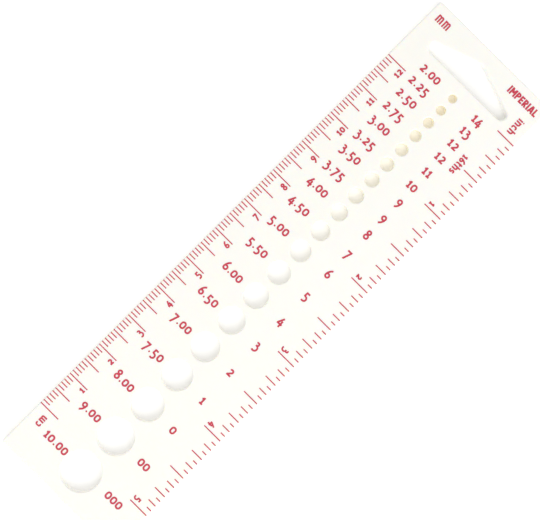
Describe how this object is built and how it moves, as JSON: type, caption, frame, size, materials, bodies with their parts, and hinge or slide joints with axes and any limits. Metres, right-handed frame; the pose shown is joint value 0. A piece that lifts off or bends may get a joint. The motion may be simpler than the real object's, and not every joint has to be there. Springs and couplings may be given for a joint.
{
  "type": "knitting needle gauge",
  "caption": "Flat moulded plate with a row of graded round holes for sizing knitting needles, centimetre and inch scales along its long edges, and a triangular hanging slot.",
  "frame": {"origin": "middle of the plate's outline, on its back face", "axes": "+X along the plate from the largest hole to the hanging slot, +Y to the centimetre edge, +Z out of the printed face"},
  "size_m": [0.152, 0.038, 0.0025],
  "materials": {
    "plate_plastic": "moulded ivory plastic, satin to semi-gloss",
    "scale_ink": "printed crimson ink, matt"
  },
  "bodies": {
    "root": {"gauge_plate": "plate_plastic", "centimetre_lines": "scale_ink", "centimetre_numbers": "scale_ink", "inch_lines": "scale_ink", "inch_numbers": "scale_ink", "metric_size_numbers": "scale_ink", "imperial_size_numbers": "scale_ink", "unit_words": "scale_ink"}
  },
  "joints": []
}
